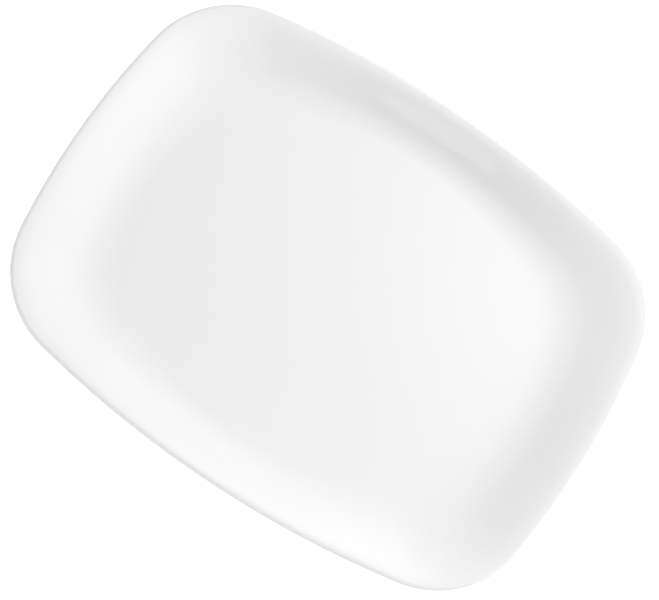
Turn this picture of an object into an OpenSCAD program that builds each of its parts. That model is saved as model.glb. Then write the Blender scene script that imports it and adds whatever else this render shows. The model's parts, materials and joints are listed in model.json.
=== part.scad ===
// Rectangular serving plate in glazed porcelain.
// The clay body is pressed in one piece with its foot ring. A glassy coat covers it everywhere but
// on the foot, in two separate coats: one over the face, the rim and the outside, and one on the
// base inside the foot ring.
// Frame: millimetres, +Z up, X along the plate, origin under its centre on the standing plane.

/* [Rim outline] */
// Length of the plate over the rim
plate_length = 320; // [300:1:360]
// Width of the plate over the rim
plate_width = 240; // [226:1:270]
// Radius of the bowed long sides of the rim
rim_long_side_radius = 584; // [480:1:720]
// Radius of the bowed short sides of the rim
rim_short_side_radius = 430; // [340:1:520]
// Radius of the rim's corners
rim_corner_radius = 56; // [46:1:66]

/* [Well] */
// Depth from the top of the rim down to the floor of the well
well_depth = 20; // [15:0.1:24]
// Length of the flat floor of the well
floor_length = 226; // [206:1:244]
// Width of the flat floor of the well
floor_width = 176; // [160:1:188]
// Radius of the bowed long sides of the floor
floor_long_side_radius = 195; // [160:1:300]
// Radius of the bowed short sides of the floor
floor_short_side_radius = 130; // [112:1:220]
// Radius of the floor's corners
floor_corner_radius = 50; // [40:1:58]
// Radius of the cove that lifts the floor into the wall, on the long sides
cove_radius = 20; // [12:0.5:26]
// Radius of the flare that turns the wall out into the rim, on the long sides
flare_radius = 11; // [7:0.5:16]
// Slope that is left on the face where the flare meets the lip, in degrees
lip_slope = 22; // [6:1:30]

/* [Clay and glaze] */
// Thickness of the clay under the floor of the well
clay_thickness = 5; // [4:0.1:6.5]
// Thickness of the rounded lip, glaze included
lip_thickness = 4; // [3:0.1:5]
// Thickness of the glaze
glaze_thickness = 0.4; // [0.2:0.05:0.6]

/* [Foot] */
// Height of the clay base above the standing plane
foot_height = 3.2; // [2:0.1:5]
// Width of the foot ring
foot_width = 6; // [4:0.1:9]
// Distance from the edge of the floor in to the outside of the foot ring
foot_inset = 6; // [4:0.1:12]
// Radius of the two rounded edges of the foot ring
foot_round = 1.2; // [0.4:0.1:1.8]
// Width of bare clay left between the glaze and the foot ring
bare_margin = 0.8; // [0.4:0.1:1.6]

/* [Hidden] */

clay_colour = [0.93, 0.91, 0.87];
glaze_colour = [0.96, 0.96, 0.96];

// Points on half a short side, on a corner and on half a long side
short_steps = 4;
corner_steps = 11;
long_steps = 5;
quarter_points = short_steps + corner_steps + long_steps;
ring_points = 4 * quarter_points;

// Rings on the cove, the flare and the lip, and on each rounded edge of the foot
cove_steps = 5;
flare_steps = 4;
lip_steps = 5;
foot_steps = 3;

// Heights of the clay floor and of the glazed floor above the standing plane
clay_floor_z = foot_height + clay_thickness;
floor_z = clay_floor_z + glaze_thickness;
floor_thickness = clay_thickness + 2 * glaze_thickness;
lip_radius = lip_thickness / 2;

// An outline is [half length, half width, long side radius, short side radius, corner radius]
function inset(outline, d) = [for (size = outline) size - d];

rim_outline = [
    plate_length / 2, plate_width / 2,
    rim_long_side_radius, rim_short_side_radius, rim_corner_radius
];
// The line where the flare ends and the lip begins
edge_outline = inset(rim_outline, lip_radius * (1 + sin(lip_slope)));
floor_outline = [
    floor_length / 2, floor_width / 2,
    floor_long_side_radius, floor_short_side_radius, floor_corner_radius
];

// Centres of the long side's arc, the short side's arc and the corner's arc in the first quadrant
function long_centre(o) = [0, o[1] - o[2]];
function short_centre(o) = [o[0] - o[3], 0];
function corner_centre(o) =
    let (
        from_long = o[2] - o[4],
        from_short = o[3] - o[4],
        line = short_centre(o) - long_centre(o),
        apart = norm(line),
        along = (from_long ^ 2 - from_short ^ 2 + apart ^ 2) / (2 * apart),
        across = sqrt(from_long ^ 2 - along ^ 2)
    )
    long_centre(o) + (line * along + [line[1], -line[0]] * across) / apart;

function direction(angle) = [cos(angle), sin(angle)];
function angle_of(v) = atan2(v[1], v[0]);
function between(a, b, share) = a + (b - a) * share;

// Point i of the first quadrant and its outward direction, from +X round to +Y
function quarter_point(o, i) =
    let (
        corner = corner_centre(o),
        corner_start = angle_of(corner - short_centre(o)),
        corner_end = angle_of(corner - long_centre(o)),
        on_short = i < short_steps,
        on_corner = i < short_steps + corner_steps,
        angle =
            on_short ? between(0, corner_start, i / short_steps)
            : on_corner ? between(corner_start, corner_end, (i - short_steps) / corner_steps)
            : between(corner_end, 90, (i - short_steps - corner_steps) / long_steps),
        centre = on_short ? short_centre(o) : on_corner ? corner : long_centre(o),
        radius = on_short ? o[3] : on_corner ? o[4] : o[2]
    )
    [centre + radius * direction(angle), direction(angle)];

function mirrored(v, x_sign, y_sign) = [v[0] * x_sign, v[1] * y_sign];

// The whole outline, anticlockwise from +X, as [point, outward direction]
function outline_points(o) = [
    for (k = [0 : ring_points - 1])
        let (
            quadrant = floor(k / quarter_points),
            step = k % quarter_points,
            p = quarter_point(o, quadrant % 2 == 0 ? step : quarter_points - step),
            x_sign = quadrant == 1 || quadrant == 2 ? -1 : 1,
            y_sign = quadrant < 2 ? 1 : -1
        )
        [mirrored(p[0], x_sign, y_sign), mirrored(p[1], x_sign, y_sign)]
];

floor_line = outline_points(floor_outline);
edge_line = outline_points(edge_outline);

// A ring lies at a share of the way from the floor's line to the edge's line, moved out square to it
function ring(share, out, z) = [
    for (k = [0 : ring_points - 1])
        let (
            at = between(floor_line[k][0], edge_line[k][0], share),
            facing = between(floor_line[k][1], edge_line[k][1], share),
            moved = at + out * facing / norm(facing)
        )
        [moved[0], moved[1], z]
];

// Section of the face, taken across a long side. It rises from the floor by a cove, a straight wall
// and a flare. The straight wall is the tangent between the two arcs, and the arcs are kept small
// enough to leave one.
wall_run = edge_outline[1] - floor_outline[1];
wall_rise = well_depth - lip_radius * (1 - cos(lip_slope));
// The arcs fit while their radii together stay under a share of the distance between their centres.
// That bound is quadratic in the factor by which both radii would have to shrink.
most_of_distance = 0.97;
fit_square = cove_radius ^ 2 + flare_radius ^ 2 + 2 * cove_radius * flare_radius * cos(lip_slope)
    - ((cove_radius + flare_radius) / most_of_distance) ^ 2;
fit_linear = 2 * wall_run * flare_radius * sin(lip_slope)
    - 2 * wall_rise * (cove_radius + flare_radius * cos(lip_slope));
fit_constant = wall_run ^ 2 + wall_rise ^ 2;
fit_root = sqrt(fit_linear ^ 2 - 4 * fit_square * fit_constant);
arc_fit = min(1, -(fit_linear + fit_root) / (2 * fit_square));
cove_r = cove_radius * arc_fit;
flare_r = flare_radius * arc_fit;
cove_centre = [0, cove_r];
flare_centre = [wall_run + flare_r * sin(lip_slope), wall_rise - flare_r * cos(lip_slope)];
centre_line = flare_centre - cove_centre;
wall_slope = angle_of(centre_line) + asin((cove_r + flare_r) / norm(centre_line));
lip_centre = [wall_run + lip_radius * sin(lip_slope), wall_rise - lip_radius * cos(lip_slope)];

cove_slopes = [for (i = [0 : cove_steps]) wall_slope * i / cove_steps];
flare_slopes = [for (i = [0 : flare_steps]) between(wall_slope, lip_slope, i / flare_steps)];

// Points of the face as [distance out from the floor's edge, height over the floor, slope]
cove_points = [
    for (s = cove_slopes) [cove_centre[0] + cove_r * sin(s), cove_centre[1] - cove_r * cos(s), s]
];
flare_points = [
    for (s = flare_slopes) [flare_centre[0] - flare_r * sin(s), flare_centre[1] + flare_r * cos(s), s]
];
face_points = concat(cove_points, flare_points);

// Rings of the skin at a depth below the glazed surface, as [share, out, height]
function face_rings(depth) = [
    for (p = face_points)
        [p[0] / wall_run, depth * sin(p[2]), floor_z + p[1] - depth * cos(p[2])]
];
function lip_rings(depth) = [
    for (i = [1 : lip_steps - 1])
        let (
            angle = 90 + lip_slope - 180 * i / lip_steps,
            at = lip_centre + (lip_radius - depth) * direction(angle)
        )
        [1, at[0] - wall_run, floor_z + at[1]]
];
// The outside follows the face at the wall's thickness, which grows from the lip to the floor
function outside_rings(depth) = [
    for (i = [len(face_points) - 1 : -1 : 0])
        let (
            p = face_points[i],
            share = p[0] / wall_run,
            thickness = between(floor_thickness, lip_thickness, share) - depth
        )
        [share, thickness * sin(p[2]), floor_z + p[1] - thickness * cos(p[2])]
];
// The skin from the floor over the lip and down to where the glaze stops beside the foot
function skin_rings(depth) = concat(
    face_rings(depth), lip_rings(depth), outside_rings(depth),
    [[0, bare_margin - foot_inset, foot_height - glaze_thickness + depth]]
);

// The foot ring from its outside to its inside, as [share, out, height]
foot_corner = [-foot_inset - foot_round, foot_round];
foot_rings = concat(
    [[0, -foot_inset, foot_height]],
    [
        for (i = [0 : foot_steps])
            let (at = foot_corner + foot_round * direction(-90 * i / foot_steps))
            [0, at[0], at[1]]
    ],
    [
        for (i = [foot_steps : -1 : 0])
            let (at = foot_corner + foot_round * direction(-90 * i / foot_steps))
            [0, -2 * foot_inset - foot_width - at[0], at[1]]
    ],
    [[0, -foot_inset - foot_width, foot_height]]
);

function ring_list(rings) = [for (r = rings) each ring(r[0], r[1], r[2])];

function next_point(k) = (k + 1) % ring_points;
// Triangles between rings i and j of a stack, clockwise from outside. A turned strip is split along
// the other diagonals, so that it matches a strip that lies against it with its rings the other way.
function strip(i, j, turned) = [
    for (k = [0 : ring_points - 1])
        let (
            a = i * ring_points,
            b = j * ring_points,
            l = next_point(k)
        )
        each turned
            ? [[a + k, a + l, b + k], [a + l, b + l, b + k]]
            : [[a + k, a + l, b + l], [a + k, b + l, b + k]]
];
function strips(count, turned_from) = [
    for (i = [0 : count - 2]) each strip(i, i + 1, i >= turned_from)
];

// A stack of rings that is closed by a flat cap on its first ring and on its last. Its strips are
// turned from ring turned_from on.
module capped_stack(rings, turned_from) {
    last = len(rings) - 1;
    first_centre = len(rings) * ring_points;
    last_centre = first_centre + 1;
    polyhedron(
        points = concat(ring_list(rings), [[0, 0, rings[0][2]], [0, 0, rings[last][2]]]),
        faces = concat(
            [for (k = [0 : ring_points - 1]) [first_centre, next_point(k), k]],
            strips(len(rings), turned_from),
            [
                for (k = [0 : ring_points - 1])
                    [last_centre, last * ring_points + k, last * ring_points + next_point(k)]
            ]
        )
    );
}

// A stack of rings whose last ring meets its first
module closed_loop(rings) {
    polyhedron(
        points = ring_list(rings),
        faces = concat(strips(len(rings), len(rings)), strip(len(rings) - 1, 0, false))
    );
}

// Pressed clay with its foot ring
module clay_body() {
    skin = skin_rings(glaze_thickness);
    color(clay_colour)
        union() {
            capped_stack(skin, len(skin));
            closed_loop(foot_rings);
        }
}

// Glaze over the face, the rim and the outside, down to the foot
module face_glaze() {
    outer = skin_rings(0);
    inner = skin_rings(glaze_thickness);
    back = [for (i = [len(inner) - 1 : -1 : 0]) inner[i]];
    color(glaze_colour)
        capped_stack(concat(outer, back), len(outer));
}

// Glaze on the base, inside the foot ring
module base_glaze() {
    edge = ring(0, -foot_inset - foot_width - bare_margin, 0);
    color(glaze_colour)
        translate([0, 0, foot_height - glaze_thickness])
            linear_extrude(glaze_thickness)
                polygon([for (p = edge) [p[0], p[1]]]);
}

clay_body();
face_glaze();
base_glaze();
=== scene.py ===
# %% [markdown]
# # A white rectangular plate
# The object is a shallow serving plate of glazed white porcelain. It has a flat floor, a wall that rises
# in a soft cove, and a lip that flares a little and is rounded over. It is pressed in one piece, so it has
# no parts that move. The CAD model holds its three solids at their real size, but in facets: the clay,
# the glaze over the face and the outside, and the glaze on the base.
# In this lesson each solid is made again as a smooth mesh in the same place, and gets its finish.
# First the solids are loaded as a fixed frame.

# %% Load the solids
import json
import math

import bmesh
import bpy
from mathutils import Matrix, Vector
from mathutils.geometry import interpolate_bezier, intersect_sphere_sphere_2d


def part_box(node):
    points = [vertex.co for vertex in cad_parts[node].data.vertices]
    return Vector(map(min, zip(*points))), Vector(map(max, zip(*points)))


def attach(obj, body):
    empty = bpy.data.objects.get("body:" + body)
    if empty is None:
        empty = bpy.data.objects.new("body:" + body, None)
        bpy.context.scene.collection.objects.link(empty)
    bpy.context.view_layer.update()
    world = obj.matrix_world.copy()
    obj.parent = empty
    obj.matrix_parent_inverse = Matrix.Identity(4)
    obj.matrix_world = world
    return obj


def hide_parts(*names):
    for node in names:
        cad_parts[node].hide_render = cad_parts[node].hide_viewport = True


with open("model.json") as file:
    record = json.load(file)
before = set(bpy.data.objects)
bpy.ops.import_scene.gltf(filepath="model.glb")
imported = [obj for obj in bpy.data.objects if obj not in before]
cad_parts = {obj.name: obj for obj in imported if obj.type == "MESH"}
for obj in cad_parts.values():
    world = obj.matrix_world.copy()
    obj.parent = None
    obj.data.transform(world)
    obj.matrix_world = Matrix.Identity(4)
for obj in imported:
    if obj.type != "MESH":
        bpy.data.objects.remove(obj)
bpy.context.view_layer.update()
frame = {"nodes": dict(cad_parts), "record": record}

MM = 0.001
print("solids:", sorted(frame["nodes"]))

# %% [markdown]
# ## Sizes from the frame
# Blender works in metres here, as the frame does. What the frame can tell isn't written again: the boxes
# of the solids give the length, the width and the height over the rim, the thickness of the glaze and the
# height of the base. The record's mount on the floor of the well gives the height of that floor.

# %% Measure the solids
glaze_low, glaze_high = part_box("face_glaze")
clay_low, clay_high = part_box("clay_body")
base_low, base_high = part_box("base_glaze")
mounts = {mount["name"]: mount for mount in frame["record"]["mounts"]}

half_length = glaze_high.x
half_width = glaze_high.y
rim_top = glaze_high.z
glaze_thickness = glaze_high.x - clay_high.x
base_height = base_high.z
floor_top = mounts["well_floor"]["pos_m"][2]
well_depth = rim_top - floor_top
floor_thickness = floor_top - glaze_low.z
print("glaze %.2f mm, floor %.1f mm thick" % (glaze_thickness / MM, floor_thickness / MM))
print("well %.2f mm deep, base %.1f mm up" % (well_depth / MM, base_height / MM))

# %% [markdown]
# ## The camera
# The picture looks almost straight down on the plate, from a little beyond its near long side, and the
# plate lies turned in it. The numbers come from fitting the rim's bowed outline to the picture. A camera's
# matrix holds three directions, to the right, up and back towards the eye, so they are worked out one
# after the other and set as its columns. That is plainer than juggling three turns.

# %% Set up the camera
IMAGE_WIDTH = 659
FOCAL_PIXELS = 1676.4
SENSOR_WIDTH = 36.0
CAMERA_DISTANCE = 883.4 * MM
CAMERA_TARGET = Vector((0.5, -5.8, 29.0)) * MM
CAMERA_LEAN = math.radians(10.55)
CAMERA_SIDE = math.radians(-86.7)
CAMERA_TURN = math.radians(33.99)


def pointing(azimuth, lean):
    """A direction that leans away from straight up, towards an azimuth counted from +X."""
    level = math.sin(lean)
    return Vector((level * math.cos(azimuth), level * math.sin(azimuth), math.cos(lean)))


back = pointing(CAMERA_SIDE, CAMERA_LEAN)
level_right = Vector((math.cos(CAMERA_TURN), math.sin(CAMERA_TURN), 0))
right = (level_right - back * level_right.dot(back)).normalized()
up = back.cross(right)

camera_data = bpy.data.cameras.new("camera")
camera_data.sensor_width = SENSOR_WIDTH
camera_data.lens = FOCAL_PIXELS / IMAGE_WIDTH * SENSOR_WIDTH
camera = bpy.data.objects.new("camera", camera_data)
camera.matrix_world = Matrix.LocRotScale(
    CAMERA_TARGET + back * CAMERA_DISTANCE,
    Matrix((right, up, back)).transposed(),
    None,
)
bpy.context.scene.collection.objects.link(camera)
bpy.context.scene.camera = camera
print("lens %.1f mm" % camera_data.lens)

# %% [markdown]
# ## The outline
# Seen from above, the plate is a rectangle with bowed sides. Each quarter of its outline is three arcs
# that run into each other: half a short side, a corner and half a long side. Five sizes describe it: half
# its length, half its width and the three radii. It could be drawn as a curve, but a curve's handles only
# come close to an arc. Here one point is spun about the centre of each arc in turn, and the quarter is
# mirrored twice. The corner's centre lies where two circles cross, each drawn about a side's centre.
# To move an outline out by a distance, that distance is added to all five sizes.

# %% Draw the outline
SHORT_STEPS = 12
CORNER_STEPS = 24
LONG_STEPS = 16
WELD = 0.001 * MM


def moved_out(outline, distance):
    return [size + distance for size in outline]


def angle_of(arrow):
    return math.atan2(arrow.y, arrow.x)


def bowed_loop(outline):
    """A new bmesh with one closed loop of edges along the outline, on the plane z = 0."""
    long_reach, wide_reach, long_radius, short_radius, corner_radius = outline
    long_centre = Vector((0, wide_reach - long_radius))
    short_centre = Vector((long_reach - short_radius, 0))
    crossings = intersect_sphere_sphere_2d(
        long_centre, long_radius - corner_radius, short_centre, short_radius - corner_radius
    )
    corner_centre = max(crossings, key=sum)
    corner_start = angle_of(corner_centre - short_centre)
    corner_end = angle_of(corner_centre - long_centre)
    arcs = (
        (short_centre, corner_start, SHORT_STEPS),
        (corner_centre, corner_end - corner_start, CORNER_STEPS),
        (long_centre, math.pi / 2 - corner_end, LONG_STEPS),
    )
    bm = bmesh.new()
    tip = bm.verts.new((long_reach, 0, 0))
    for centre, angle, steps in arcs:
        spun = bmesh.ops.spin(
            bm, geom=[tip], cent=centre.to_3d(), axis=(0, 0, 1), angle=angle, steps=steps
        )
        tip = next(part for part in spun["geom_last"] if isinstance(part, bmesh.types.BMVert))
    for axis in "XY":
        bmesh.ops.mirror(
            bm, geom=bm.verts[:] + bm.edges[:], matrix=Matrix.Identity(4), merge_dist=WELD, axis=axis
        )
    return bm


def outline_places(outline):
    """The places of the loop's points, always in the same order."""
    bm = bowed_loop(outline)
    places = [vert.co.copy() for vert in bm.verts]
    bm.free()
    return places


RIM_LONG_RADIUS = 584 * MM
RIM_SHORT_RADIUS = 430 * MM
RIM_CORNER_RADIUS = 56 * MM
rim_outline = [half_length, half_width, RIM_LONG_RADIUS, RIM_SHORT_RADIUS, RIM_CORNER_RADIUS]
print("points round the plate:", len(outline_places(rim_outline)))

# %% [markdown]
# ## The section of the wall
# Across a long side, the face rises from the floor in a cove, runs on almost straight, and flares out to the
# lip. A tangent of the cove's arc and the flare's gives the slope of that run. The solids keep it straight,
# but a real wall is steepest halfway up, which shows in its reflections. So the two arcs stop a few degrees
# short of the tangent, and a Bezier curve joins them. The lip is half a circle, and the outside follows the
# face at the wall's thickness, which shrinks from the floor to the lip. Each point of the section is noted
# in the form in which a ring of the plate is made: its share of the way from the floor's outline to the
# lip's, a distance out, and a height.

# %% Work out the section
FLOOR_HALF_LENGTH = 113 * MM
FLOOR_HALF_WIDTH = 88 * MM
FLOOR_LONG_RADIUS = 195 * MM
FLOOR_SHORT_RADIUS = 130 * MM
FLOOR_CORNER_RADIUS = 50 * MM
LIP_THICKNESS = 4 * MM
LIP_SLOPE = math.radians(22)
COVE_RADIUS = 20 * MM
FLARE_RADIUS = 11 * MM
WALL_BOW = math.radians(4.5)
HANDLE_SHARE = 1 / 3
COVE_STEPS = 14
WALL_STEPS = 12
FLARE_STEPS = 10
LIP_STEPS = 16

floor_outline = [
    FLOOR_HALF_LENGTH, FLOOR_HALF_WIDTH,
    FLOOR_LONG_RADIUS, FLOOR_SHORT_RADIUS, FLOOR_CORNER_RADIUS,
]
lip_radius = LIP_THICKNESS / 2
lip_outline = moved_out(rim_outline, -lip_radius * (1 + math.sin(LIP_SLOPE)))
wall_run = lip_outline[1] - FLOOR_HALF_WIDTH
wall_rise = well_depth - lip_radius * (1 - math.cos(LIP_SLOPE))
lip_turn = Vector((math.sin(LIP_SLOPE), -math.cos(LIP_SLOPE)))
wall_end = Vector((wall_run, wall_rise))
cove_centre = Vector((0, COVE_RADIUS))
flare_centre = wall_end + FLARE_RADIUS * lip_turn
lip_centre = wall_end + lip_radius * lip_turn
centre_line = flare_centre - cove_centre
wall_slope = angle_of(centre_line) + math.asin((COVE_RADIUS + FLARE_RADIUS) / centre_line.length)
end_slope = wall_slope - WALL_BOW


def steps_between(start, end, steps):
    return [start + (end - start) * step / steps for step in range(steps + 1)]


def arc_points(centre, radius, start, end, steps):
    """Points on an arc as (place, slope). With a radius below zero it bends down as it goes out."""
    points = []
    for slope in steps_between(start, end, steps):
        points.append((centre + radius * Vector((math.sin(slope), -math.cos(slope))), slope))
    return points


def face_points():
    """Points up the face as (place across and up from the floor's edge, slope)."""
    cove = arc_points(cove_centre, COVE_RADIUS, 0, end_slope, COVE_STEPS)
    flare = arc_points(flare_centre, -FLARE_RADIUS, end_slope, LIP_SLOPE, FLARE_STEPS)
    cove_end, flare_start = cove[-1][0], flare[0][0]
    along = Vector((math.cos(end_slope), math.sin(end_slope)))
    handle = along * (flare_start - cove_end).length * HANDLE_SHARE
    curve = interpolate_bezier(
        cove_end, cove_end + handle, flare_start - handle, flare_start, WALL_STEPS + 1
    )
    wall = [
        (place, angle_of(after - before))
        for before, place, after in zip(curve, curve[1:], curve[2:])
    ]
    return cove + wall + flare


steepest = max(slope for place, slope in face_points())
print("wall run %.1f mm, steepest %.1f degrees" % (wall_run / MM, math.degrees(steepest)))

# %% [markdown]
# ## Rings of the skin
# The clay and the glaze share this section, one a little below the other, so a single function gives the
# rings of a skin at any depth under the glazed surface. It goes from the floor over the lip to the place
# beside the foot where the glaze stops.

# %% List the rings of a skin
FOOT_INSET = 6 * MM
BARE_MARGIN = 0.8 * MM
glaze_end = BARE_MARGIN - FOOT_INSET


def skin_rings(depth):
    """Rings from the floor over the lip and down the outside, as (share, out, height)."""
    points = face_points()
    rings = []
    for place, slope in points:
        rings.append((place.x / wall_run, depth * math.sin(slope), place.y - depth * math.cos(slope)))
    start = math.pi / 2 + LIP_SLOPE
    for angle in steps_between(start, start - math.pi, LIP_STEPS)[1:-1]:
        place = lip_centre + (lip_radius - depth) * Vector((math.cos(angle), math.sin(angle)))
        rings.append((1, place.x - wall_run, place.y))
    for place, slope in reversed(points):
        share = place.x / wall_run
        thickness = floor_thickness + (LIP_THICKNESS - floor_thickness) * share - depth
        rings.append((share, thickness * math.sin(slope), place.y - thickness * math.cos(slope)))
    rings.append((0, glaze_end, depth - floor_thickness))
    return [(share, out, floor_top + height) for share, out, height in rings]


print("rings of a skin:", len(skin_rings(0)))

# %% [markdown]
# ## From rings to a skin
# A skin starts as the loop of its first ring. Each further ring is extruded from the last one and set out
# in its place. To know where a point belongs, every point carries a number, its column, in a layer of the
# mesh, and extruding copies that number along. A ring's points lie on straight lines between the outline
# of the floor and that of the lip, both moved out by the same distance.

# %% Helpers that extrude a skin
def ring_places(share, out, height):
    low = outline_places(moved_out(floor_outline, out))
    high = outline_places(moved_out(lip_outline, out))
    lift = Vector((0, 0, height))
    return [start.lerp(end, share) + lift for start, end in zip(low, high)]


def first_ring(share, out, height):
    """A new bmesh with its first ring, and the edges of that ring."""
    bm = bowed_loop(floor_outline)
    column = bm.verts.layers.int.new("column")
    places = ring_places(share, out, height)
    for number, vert in enumerate(bm.verts):
        vert[column] = number
        vert.co = places[number]
    return bm, bm.edges[:]


def next_ring(bm, edges, share, out, height):
    """Extrudes the edges of the last ring to the next one, and returns the edges of that."""
    made = bmesh.ops.extrude_edge_only(bm, edges=edges)["geom"]
    verts = {part for part in made if isinstance(part, bmesh.types.BMVert)}
    column = bm.verts.layers.int["column"]
    places = ring_places(share, out, height)
    for vert in verts:
        vert.co = places[vert[column]]
    return [part for part in made if isinstance(part, bmesh.types.BMEdge) and set(part.verts) <= verts]


print("points in a ring:", len(ring_places(0, 0, floor_top)))

# %% [markdown]
# ## Closing and finishing a mesh
# A flat face closes a skin at its first ring, and another one at its last. Left as it is, such a large face
# would share its shading with the curve beside it, so it is inset a few times and has bands of quads along
# its edge. Sharp edges are rounded by a bevel. At the end the faces are turned outwards and the mesh becomes
# an object at the origin.

# %% Helpers that close and finish a mesh
CAP_BANDS = (2 * MM, 10 * MM, 24 * MM)


def cap(bm, edges):
    """Fills a ring with a flat face, and insets it so that its edge has quads to shade on."""
    face = bmesh.ops.edgeloop_fill(bm, edges=edges)["faces"]
    for band in CAP_BANDS:
        bmesh.ops.inset_region(bm, faces=face, thickness=band, use_even_offset=True)


def capped_skin(rings):
    """A new bmesh with a skin through all the rings, closed at the first, and the edges of the last."""
    bm, ring = first_ring(*rings[0])
    cap(bm, ring)
    for place in rings[1:]:
        ring = next_ring(bm, ring, *place)
    return bm, ring


def round_edges(bm, edges, radius, segments):
    bmesh.ops.bevel(
        bm, geom=edges, offset=radius, offset_type="OFFSET", affect="EDGES",
        segments=segments, profile=0.5, material=-1,
    )


def finished_piece(bm, name):
    """Turns the faces outwards, shades them smooth and makes the mesh an object at the origin."""
    bmesh.ops.recalc_face_normals(bm, faces=bm.faces[:])
    for face in bm.faces:
        face.smooth = True
    open_edges = [edge for edge in bm.edges if not edge.is_manifold]
    bm.verts.layers.int.remove(bm.verts.layers.int["column"])
    mesh = bpy.data.meshes.new(name)
    bm.to_mesh(mesh)
    bm.free()
    piece = bpy.data.objects.new(name, mesh)
    bpy.context.scene.collection.objects.link(piece)
    print(name, "faces:", len(mesh.polygons), "open edges:", len(open_edges))
    return piece


print("bands inside a cap:", len(CAP_BANDS))

# %% [markdown]
# ## The glaze over the face
# This coat is a thin closed shell: it runs from the floor over the lip and down to the foot, turns, and
# comes back against the clay. On a real plate the edge of the glaze draws itself into a soft bead where it
# was wiped off beside the foot, so that edge is beveled.

# %% Make the face glaze
BEAD_RADIUS = 0.3 * MM
BEAD_SEGMENTS = 4


def make_face_glaze():
    bm, bead = capped_skin(skin_rings(0))
    ring = bead
    for place in reversed(skin_rings(glaze_thickness)):
        ring = next_ring(bm, ring, *place)
    cap(bm, ring)
    round_edges(bm, bead, BEAD_RADIUS, BEAD_SEGMENTS)
    return finished_piece(bm, "glazed_face")


face_glaze = make_face_glaze()

# %% [markdown]
# ## The clay with its foot
# The clay has the same skin, one thickness of glaze further in. Under the plate it goes on as a foot ring,
# the only place where it stays bare: the ring goes straight down, across and up again, and its two lower
# edges are rounded by a bevel, as a fettling sponge leaves them.

# %% Make the clay body
FOOT_WIDTH = 6 * MM
FOOT_ROUND = 1.2 * MM
FOOT_SEGMENTS = 6


def make_clay_body():
    bm, ring = capped_skin(skin_rings(glaze_thickness))
    foot_outside = -FOOT_INSET
    foot_inside = -FOOT_INSET - FOOT_WIDTH
    ring = next_ring(bm, ring, 0, foot_outside, base_height)
    outer_edge = next_ring(bm, ring, 0, foot_outside, clay_low.z)
    inner_edge = next_ring(bm, outer_edge, 0, foot_inside, clay_low.z)
    ring = next_ring(bm, inner_edge, 0, foot_inside, base_height)
    cap(bm, ring)
    round_edges(bm, outer_edge + inner_edge, FOOT_ROUND, FOOT_SEGMENTS)
    return finished_piece(bm, "clay_with_foot")


clay_body = make_clay_body()

# %% [markdown]
# ## The glaze on the base
# Inside the foot ring the base is glazed too. The bare foot cuts this coat off from the first one, so it is
# a piece of its own: a sheet of glaze with a beaded edge.

# %% Make the base glaze
def make_base_glaze():
    edge = -FOOT_INSET - FOOT_WIDTH - BARE_MARGIN
    bm, bead = capped_skin([(0, edge, base_height), (0, edge, base_low.z)])
    cap(bm, bead)
    round_edges(bm, bead, BEAD_RADIUS, BEAD_SEGMENTS)
    return finished_piece(bm, "glazed_base")


base_glaze = make_base_glaze()

# %% [markdown]
# ## What firing leaves in both finishes
# Clay and glaze come out of the kiln with the same kinds of small fault: clouds of slightly warmer and
# cooler white, a fine grain, and a few dark specks of iron. Both materials take them from one node group
# and set their own scale. The specks are the places where the surface happens to cut a small ball round
# one of the points of a Voronoi pattern, so they are sparse and of many sizes.

# %% Make the kiln group
SMOOTH = {"interpolation_type": "SMOOTHSTEP"}


def add_node(tree, kind, settings=None, **sockets):
    """Adds a node, sets its properties and gives values to the sockets named, with _ for a space."""
    node = tree.nodes.new(kind)
    for name, value in (settings or {}).items():
        setattr(node, name, value)
    for name, value in sockets.items():
        node.inputs[name.replace("_", " ")].default_value = value
    return node


def make_kiln_group():
    group = bpy.data.node_groups.new("kiln_marks", "ShaderNodeTree")
    for name, kind in (
        ("Place", "NodeSocketVector"),
        ("Cloud Scale", "NodeSocketFloat"),
        ("Grain Scale", "NodeSocketFloat"),
        ("Speck Scale", "NodeSocketFloat"),
        ("Speck Radius", "NodeSocketFloat"),
    ):
        group.interface.new_socket(name, in_out="INPUT", socket_type=kind)
    for name in ("Cloud", "Grain", "Specks"):
        group.interface.new_socket(name, in_out="OUTPUT", socket_type="NodeSocketFloat")
    given = group.nodes.new("NodeGroupInput")
    result = group.nodes.new("NodeGroupOutput")
    cloud = add_node(group, "ShaderNodeTexNoise", Detail=2.0, Roughness=0.5)
    grain = add_node(group, "ShaderNodeTexNoise", Detail=3.0, Roughness=0.6)
    points = add_node(group, "ShaderNodeTexVoronoi")
    specks = add_node(group, "ShaderNodeMapRange", SMOOTH, To_Min=1.0, To_Max=0.0)
    link = group.links.new
    for texture, scale in ((cloud, "Cloud Scale"), (grain, "Grain Scale"), (points, "Speck Scale")):
        link(given.outputs["Place"], texture.inputs["Vector"])
        link(given.outputs[scale], texture.inputs["Scale"])
    link(points.outputs["Distance"], specks.inputs["Value"])
    link(given.outputs["Speck Radius"], specks.inputs["From Max"])
    link(cloud.outputs["Fac"], result.inputs["Cloud"])
    link(grain.outputs["Fac"], result.inputs["Grain"])
    link(specks.outputs["Result"], result.inputs["Specks"])
    return group


kiln_group = make_kiln_group()
print("kiln group nodes:", len(kiln_group.nodes))

# %% [markdown]
# ## Steps that both finishes share
# A finish is a chain of small steps: a mask says where, and a colour is mixed in there. The masks come from
# the kiln's marks, or from the height on the plate, which Object coordinates give. All of it could be wired
# node by node, but the same few nodes come up again and again, so each step is a function that adds its
# nodes and hands back the socket to go on from.

# %% Helpers that mix and mask
TEXTURE_LOW = 0.3
TEXTURE_HIGH = 0.7
# A Mix node names its sockets alike for numbers and for colours, so the colours' are found by number.
MIX_FIRST = 6
MIX_SECOND = 7
MIX_RESULT = 2


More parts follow.
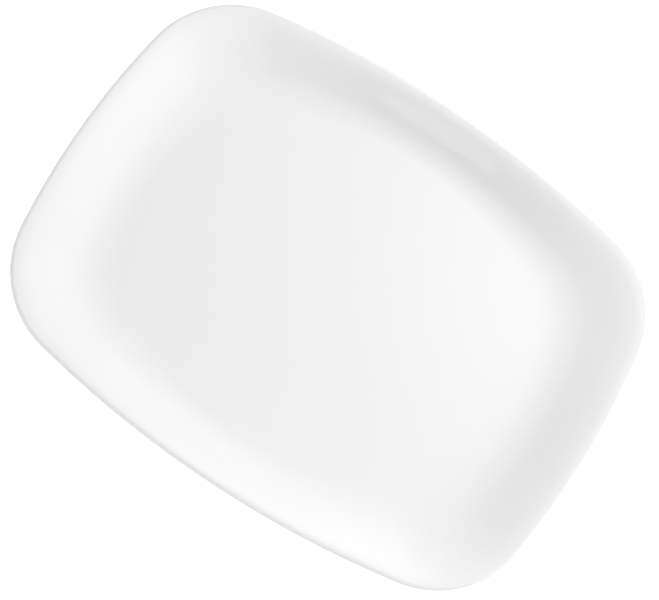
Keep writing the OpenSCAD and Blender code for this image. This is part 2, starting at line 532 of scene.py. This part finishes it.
def feed(tree, value, socket):
    """Links an output to a socket, or sets the socket to a plain number or colour."""
    if isinstance(value, bpy.types.NodeSocket):
        tree.links.new(value, socket)
    else:
        socket.default_value = value


def mix_colours(tree, amount, first, second):
    """A colour between two, each of which is a colour or an output."""
    node = add_node(tree, "ShaderNodeMix", {"data_type": "RGBA"})
    feed(tree, amount, node.inputs["Factor"])
    feed(tree, first, node.inputs[MIX_FIRST])
    feed(tree, second, node.inputs[MIX_SECOND])
    return node.outputs[MIX_RESULT]


def multiplied(tree, first, second):
    """The product of two values, each of which is a number or an output."""
    node = add_node(tree, "ShaderNodeMath", {"operation": "MULTIPLY"})
    feed(tree, first, node.inputs[0])
    feed(tree, second, node.inputs[1])
    return node.outputs[0]


def ranged(tree, value, low, high):
    """A texture's value, which mostly lies in the middle of its range, stretched from low to high."""
    node = add_node(
        tree, "ShaderNodeMapRange", From_Min=TEXTURE_LOW, From_Max=TEXTURE_HIGH, To_Min=low, To_Max=high
    )
    feed(tree, value, node.inputs["Value"])
    return node.outputs["Result"]


def height_mask(tree, place, start, end, most):
    """A mask that grows from 0 at one height to its most at another, which may be higher or lower."""
    axes = add_node(tree, "ShaderNodeSeparateXYZ")
    mask = add_node(tree, "ShaderNodeMapRange", SMOOTH, From_Min=start, From_Max=end, To_Max=most)
    feed(tree, place, axes.inputs["Vector"])
    feed(tree, axes.outputs["Z"], mask.inputs["Value"])
    return mask.outputs["Result"]


def add_bump(tree, shader, height, strength, distance):
    """Makes the surface uneven, by an output that gives its height."""
    bump = add_node(tree, "ShaderNodeBump", Strength=strength, Distance=distance)
    feed(tree, height, bump.inputs["Height"])
    feed(tree, bump.outputs["Normal"], shader.inputs["Normal"])


def new_finish(name, marks):
    """A material with its shader, its place on the object and the kiln's marks in it."""
    material = bpy.data.materials.new(name)
    material.use_nodes = True
    tree = material.node_tree
    shader = tree.nodes["Principled BSDF"]
    place = add_node(tree, "ShaderNodeTexCoord").outputs["Object"]
    kiln = add_node(tree, "ShaderNodeGroup", {"node_tree": kiln_group}, **marks)
    feed(tree, place, kiln.inputs["Place"])
    return material, tree, shader, place, kiln


print("sockets of the kiln group:", [item.name for item in kiln_group.interface.items_tree])

# %% [markdown]
# ## The white glaze
# The glaze is a clear glass over white clay. A glossy Principled shader with a white base does for both,
# because nothing is seen through it. The detail is faint but matters under soft light: the white is a
# little warmer at the crest of the lip, where the glaze runs thin, and a little cooler in the cove, where
# it pools. A slow ripple in the surface keeps reflections from looking like those of a mirror.

# %% Make the glaze material
GLAZE_WHITE = (0.880, 0.880, 0.880, 1)
GLAZE_COOL = (0.872, 0.874, 0.876, 1)
GLAZE_THIN = (0.874, 0.870, 0.862, 1)
SPECK_COLOUR = (0.45, 0.38, 0.30, 1)
GLAZE_MARKS = {"Cloud_Scale": 14.0, "Grain_Scale": 900.0, "Speck_Scale": 60.0, "Speck_Radius": 0.025}
CLOUD_RANGE = (0.0, 0.6)
SPECK_MOST = 0.3
THIN_BAND = 1.2 * MM
THIN_MOST = 0.6
POOL_BAND = 4 * MM
POOL_MOST = 0.5
GLAZE_ROUGHNESS = (0.03, 0.05)
GLAZE_IOR = 1.5
RIPPLE_SCALE = 110.0
RIPPLE_STRENGTH = 1.0
RIPPLE_HEIGHT = 0.002 * MM


def make_glaze():
    material, tree, shader, place, kiln = new_finish("white_glaze", GLAZE_MARKS)
    cloud = ranged(tree, kiln.outputs["Cloud"], *CLOUD_RANGE)
    pooled = height_mask(tree, place, floor_top + POOL_BAND, floor_top, POOL_MOST)
    thin = height_mask(tree, place, rim_top - THIN_BAND, rim_top, THIN_MOST)
    specks = multiplied(tree, kiln.outputs["Specks"], SPECK_MOST)
    colour = mix_colours(tree, cloud, GLAZE_WHITE, GLAZE_COOL)
    colour = mix_colours(tree, pooled, colour, GLAZE_COOL)
    colour = mix_colours(tree, thin, colour, GLAZE_THIN)
    colour = mix_colours(tree, specks, colour, SPECK_COLOUR)
    roughness = ranged(tree, kiln.outputs["Grain"], *GLAZE_ROUGHNESS)
    ripple = add_node(tree, "ShaderNodeTexNoise", Scale=RIPPLE_SCALE, Detail=1.0, Roughness=0.4)
    feed(tree, place, ripple.inputs["Vector"])
    add_bump(tree, shader, ripple.outputs["Fac"], RIPPLE_STRENGTH, RIPPLE_HEIGHT)
    feed(tree, colour, shader.inputs["Base Color"])
    feed(tree, roughness, shader.inputs["Roughness"])
    shader.inputs["IOR"].default_value = GLAZE_IOR
    return material


glaze = make_glaze()
print("glaze nodes:", len(glaze.node_tree.nodes))

# %% [markdown]
# ## The bare clay
# Unglazed porcelain is matt and slightly warm, with a grain like fine paper. The foot also picks up grey
# rubbings from the tables that it has stood on, lowest down and in patches, so a cloud and the height mask
# each hold them back.

# %% Make the biscuit material
CLAY_WHITE = (0.83, 0.81, 0.77, 1)
CLAY_WARM = (0.79, 0.75, 0.69, 1)
RUBBED_GREY = (0.55, 0.54, 0.52, 1)
CLAY_MARKS = {"Cloud_Scale": 40.0, "Grain_Scale": 2600.0, "Speck_Scale": 160.0, "Speck_Radius": 0.06}
WARMTH_RANGE = (0.0, 0.5)
RUB_BAND = 0.5 * MM
RUB_MOST = 0.6
RUB_PATCHES = (0.0, 0.7)
CLAY_ROUGHNESS = (0.55, 0.75)
GRAIN_STRENGTH = 0.6
GRAIN_HEIGHT = 0.03 * MM


def make_biscuit():
    material, tree, shader, place, kiln = new_finish("bare_clay", CLAY_MARKS)
    warmth = ranged(tree, kiln.outputs["Grain"], *WARMTH_RANGE)
    low = height_mask(tree, place, clay_low.z + RUB_BAND, clay_low.z, RUB_MOST)
    rubbed = multiplied(tree, low, ranged(tree, kiln.outputs["Cloud"], *RUB_PATCHES))
    colour = mix_colours(tree, warmth, CLAY_WHITE, CLAY_WARM)
    colour = mix_colours(tree, rubbed, colour, RUBBED_GREY)
    colour = mix_colours(tree, kiln.outputs["Specks"], colour, SPECK_COLOUR)
    roughness = ranged(tree, kiln.outputs["Cloud"], *CLAY_ROUGHNESS)
    add_bump(tree, shader, kiln.outputs["Grain"], GRAIN_STRENGTH, GRAIN_HEIGHT)
    feed(tree, colour, shader.inputs["Base Color"])
    feed(tree, roughness, shader.inputs["Roughness"])
    return material


biscuit = make_biscuit()
print("biscuit nodes:", len(biscuit.node_tree.nodes))

# %% [markdown]
# ## Each piece stands for its solid
# A piece takes its finish, rides on the plate's one body, and hides the solid that it stands for. Each row
# also lists the slot, the record's material that the finish belongs to, which nothing here uses.

# %% Hand the pieces over
for piece, node, slot, finish in (
    (clay_body, "clay_body", "biscuit", biscuit),
    (face_glaze, "face_glaze", "glaze", glaze),
    (base_glaze, "base_glaze", "glaze", glaze),
):
    piece.data.materials.append(finish)
    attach(piece, "root")
    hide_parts(node)
    print(piece.name, "stands for", node)

# %% [markdown]
# ## The floor under the plate
# The plate stands on plain white. To the camera, and in reflections, the background is white at a strength
# of 1, but light that scatters meets an ordinary pale floor. A Light Path node tells these rays apart. What
# the camera sees of the floor is part glow and part lit surface, balanced so that the open floor just
# reaches white everywhere and only the shadow under the plate falls below it.

# %% Make the floor
STAGE_HALF = 3.0
STAGE_WHITE = (0.9, 0.9, 0.9, 1)
SHOWN_WHITE = (0.6, 0.6, 0.6, 1)
SHOWN_GLOW = 0.77
WHITE_STRENGTH = 1.0


def seen_directly(tree):
    """1 for rays from the camera, off a gloss or through glass, and 0 for scattered light."""
    path = add_node(tree, "ShaderNodeLightPath")
    total = path.outputs["Is Camera Ray"]
    for name in ("Is Glossy Ray", "Is Transmission Ray"):
        either = add_node(tree, "ShaderNodeMath", {"operation": "MAXIMUM"})
        feed(tree, total, either.inputs[0])
        feed(tree, path.outputs[name], either.inputs[1])
        total = either.outputs[0]
    return total


def mix_shaders(tree, amount, first, second):
    """The first shader where the amount is 0, and the second where it is 1."""
    node = tree.nodes.new("ShaderNodeMixShader")
    for socket, output in zip(node.inputs, (amount, first.outputs[0], second.outputs[0])):
        feed(tree, output, socket)
    return node


def make_floor_white():
    material = bpy.data.materials.new("white_floor")
    material.use_nodes = True
    tree = material.node_tree
    tree.nodes.remove(tree.nodes["Principled BSDF"])
    plain = add_node(tree, "ShaderNodeBsdfDiffuse", Color=STAGE_WHITE)
    lit = add_node(tree, "ShaderNodeBsdfDiffuse", Color=SHOWN_WHITE)
    glow = add_node(tree, "ShaderNodeEmission", Strength=SHOWN_GLOW)
    white = add_node(tree, "ShaderNodeEmission", Strength=WHITE_STRENGTH)
    shown = tree.nodes.new("ShaderNodeAddShader")
    feed(tree, lit.outputs[0], shown.inputs[0])
    feed(tree, glow.outputs[0], shown.inputs[1])
    from_camera = add_node(tree, "ShaderNodeLightPath").outputs["Is Camera Ray"]
    direct = mix_shaders(tree, from_camera, white, shown)
    surface = mix_shaders(tree, seen_directly(tree), plain, direct)
    feed(tree, surface.outputs[0], tree.nodes["Material Output"].inputs["Surface"])
    return material


def make_floor():
    bm = bmesh.new()
    bmesh.ops.create_grid(bm, x_segments=1, y_segments=1, size=STAGE_HALF)
    mesh = bpy.data.meshes.new("floor")
    bm.to_mesh(mesh)
    bm.free()
    mesh.materials.append(make_floor_white())
    floor = bpy.data.objects.new("floor", mesh)
    bpy.context.scene.collection.objects.link(floor)
    print("floor %.1f m wide" % (2 * STAGE_HALF))


make_floor()

# %% [markdown]
# ## The sky
# Beyond the floor there is only a white sky. The same rays that see the floor as white see the sky at a
# strength of 1 too. For scattered light it is dimmer, so that it fills the shade and leaves the modelling
# to the lamps.

# %% Make the sky
SKY_WHITE = (1, 1, 1, 1)
SKY_STRENGTH = 0.40


def make_sky():
    world = bpy.data.worlds.new("sky")
    world.use_nodes = True
    bpy.context.scene.world = world
    tree = world.node_tree
    background = tree.nodes["Background"]
    background.inputs["Color"].default_value = SKY_WHITE
    strength = add_node(tree, "ShaderNodeMapRange", To_Min=SKY_STRENGTH, To_Max=WHITE_STRENGTH)
    feed(tree, seen_directly(tree), strength.inputs["Value"])
    feed(tree, strength.outputs["Result"], background.inputs["Strength"])
    print("sky strength:", SKY_STRENGTH)


make_sky()

# %% [markdown]
# ## Lamps
# The plate is lit as glossy things are, as if inside a white tent with the lamps outside it. The tent is all
# that the gloss shows, so the lamps here are hidden from glossy rays. Two soft lamps at the far right, low
# enough to shade the floor of the well from one end to the other, do most of the modelling. They leave the
# near side of the lip in shade, which draws a thin dark line there. The others fill in. A low card at the
# near side keeps the top of the far wall from going too dark, and like the fill at the left it is a little
# rosy, as the shaded walls are. Two strips that end below the rim soften the dark line and nothing else in
# the picture, because the lip keeps their light out of the well. One more strip is the other way round, and
# shows in the gloss alone: the steepest part of the far wall mirrors its upper edge as a long pale lens.

# %% Place the lamps
PLAIN_WHITE = (1, 1, 1)
ROSY_WHITE = (1, 0.78, 0.89)
PALE_ROSE = (1, 0.88, 0.94)
LIP_STRIP_DISTANCE = 0.6
LIP_STRIP_SHARE = 0.9


def softbox(name, azimuth, height, distance, size, power, tall=None, colour=PLAIN_WHITE, mirrored=False):
    """A lamp that looks at the plate's middle. Its angles are in degrees, from +X and the floor.

    It is square unless it says how tall it is. A mirrored one shows in the gloss and lights nothing else.
    """
    lamp = bpy.data.lights.new(name, "AREA")
    lamp.shape = "RECTANGLE"
    lamp.size = size
    lamp.size_y = tall or size
    lamp.energy = power
    lamp.color = colour
    towards = pointing(math.radians(azimuth), math.radians(90 - height))
    holder = bpy.data.objects.new(name, lamp)
    holder.location = towards * distance
    holder.rotation_mode = "QUATERNION"
    holder.rotation_quaternion = towards.to_track_quat("Z", "Y")
    holder.visible_camera = False
    holder.visible_glossy = mirrored
    holder.visible_diffuse = not mirrored
    bpy.context.scene.collection.objects.link(holder)
    print(name, "%.2f W" % power)


softbox("high_right_softbox", azimuth=45, height=50, distance=0.9, size=0.4, power=2.7)
softbox("low_right_softbox", azimuth=30, height=20, distance=0.7, size=0.4, power=1.9)
softbox("overhead_softbox", azimuth=0, height=90, distance=1.2, size=1.0, power=3.8)
softbox("left_fill", azimuth=180, height=9, distance=1.2, size=0.6, power=2.2, colour=ROSY_WHITE)
softbox(
    "near_strip", azimuth=270, height=16.4, distance=1.2, size=0.41, power=0.17, tall=0.14, mirrored=True
)
softbox("low_card", azimuth=270, height=4, distance=0.7, size=0.08, power=0.8, colour=PALE_ROSE)
half_rim_angle = math.degrees(math.asin(rim_top / 2 / LIP_STRIP_DISTANCE))
for name, azimuth, power in (("near_lip_strip", 285, 0.2), ("left_lip_strip", 190, 0.14)):
    softbox(
        name, azimuth, half_rim_angle, LIP_STRIP_DISTANCE, size=0.5, power=power,
        tall=LIP_STRIP_SHARE * rim_top,
    )

# %% [markdown]
# ## The view
# The view stays plain, so that colours come out as they were written.

# %% Keep the view plain
bpy.context.scene.view_settings.view_transform = "Standard"
